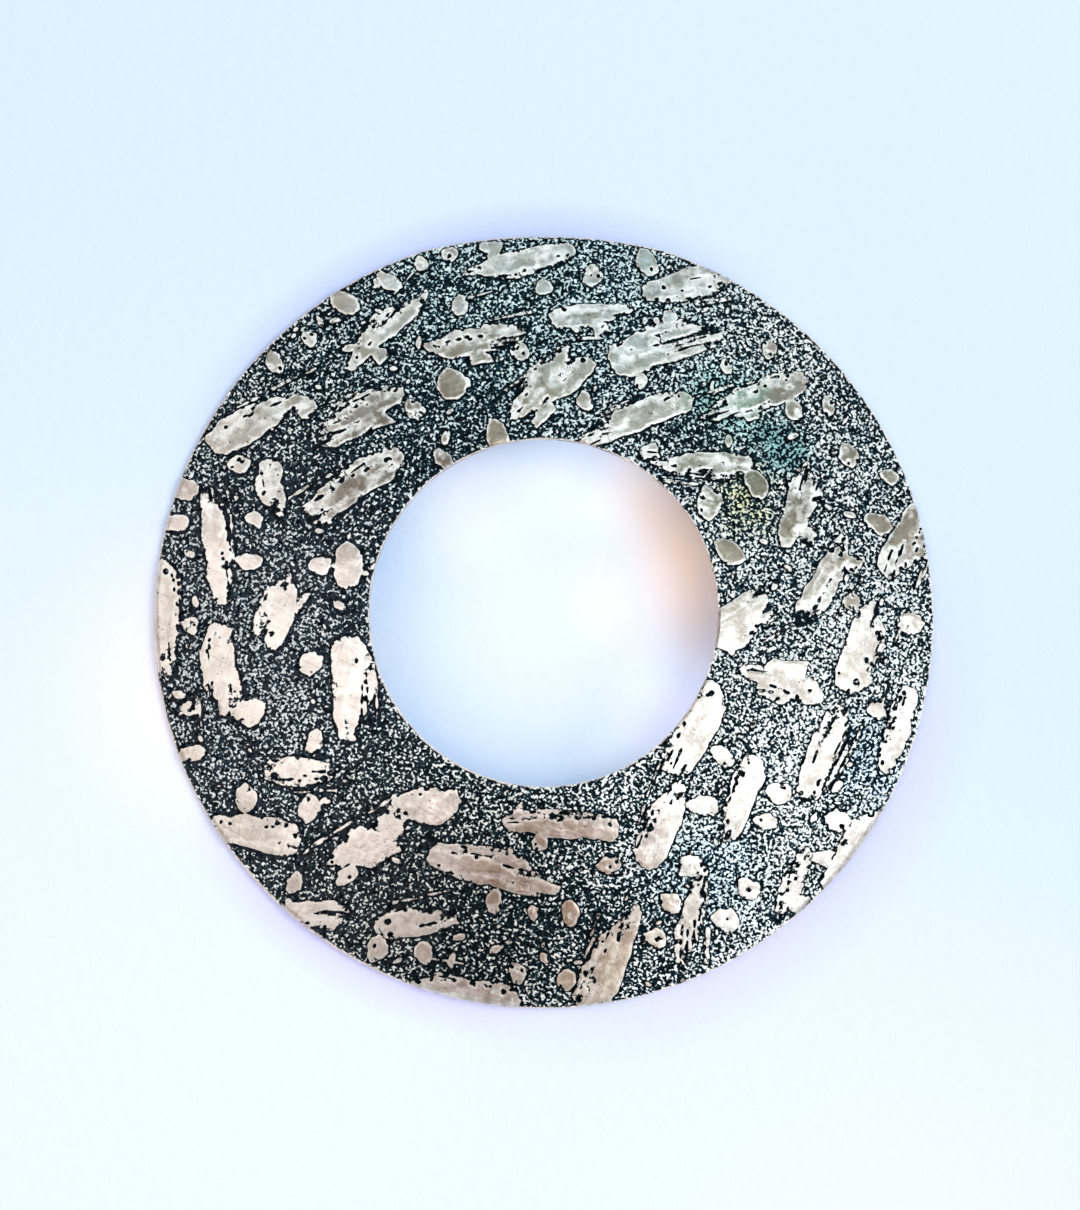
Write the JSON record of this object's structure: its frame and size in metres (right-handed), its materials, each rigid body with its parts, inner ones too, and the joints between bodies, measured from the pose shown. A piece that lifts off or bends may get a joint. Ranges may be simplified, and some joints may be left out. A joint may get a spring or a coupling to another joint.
{
  "type": "etched silver ring brooch",
  "caption": "Shallow domed ring brooch with a large round hole, raised dabs on an etched ground, and a pin with hinge and catch behind its upper half.",
  "frame": {"origin": "middle of the circle that the rim rests on, on the table", "axes": "+Z out of the brooch's front, +Y towards its top as it is worn, +X to the wearer's left, from the hinge to the catch"},
  "size_m": [0.06, 0.0597, 0.005],
  "materials": {
    "oxidised_silver": "silver sheet, worn bright on the raised dabs and blackened in the etched ground, with a faint teal bloom",
    "pin_steel": "drawn steel wire, plain and slightly dull"
  },
  "bodies": {
    "root": {"etched_ring": "oxidised_silver", "pin_wire": "pin_steel"}
  },
  "joints": []
}
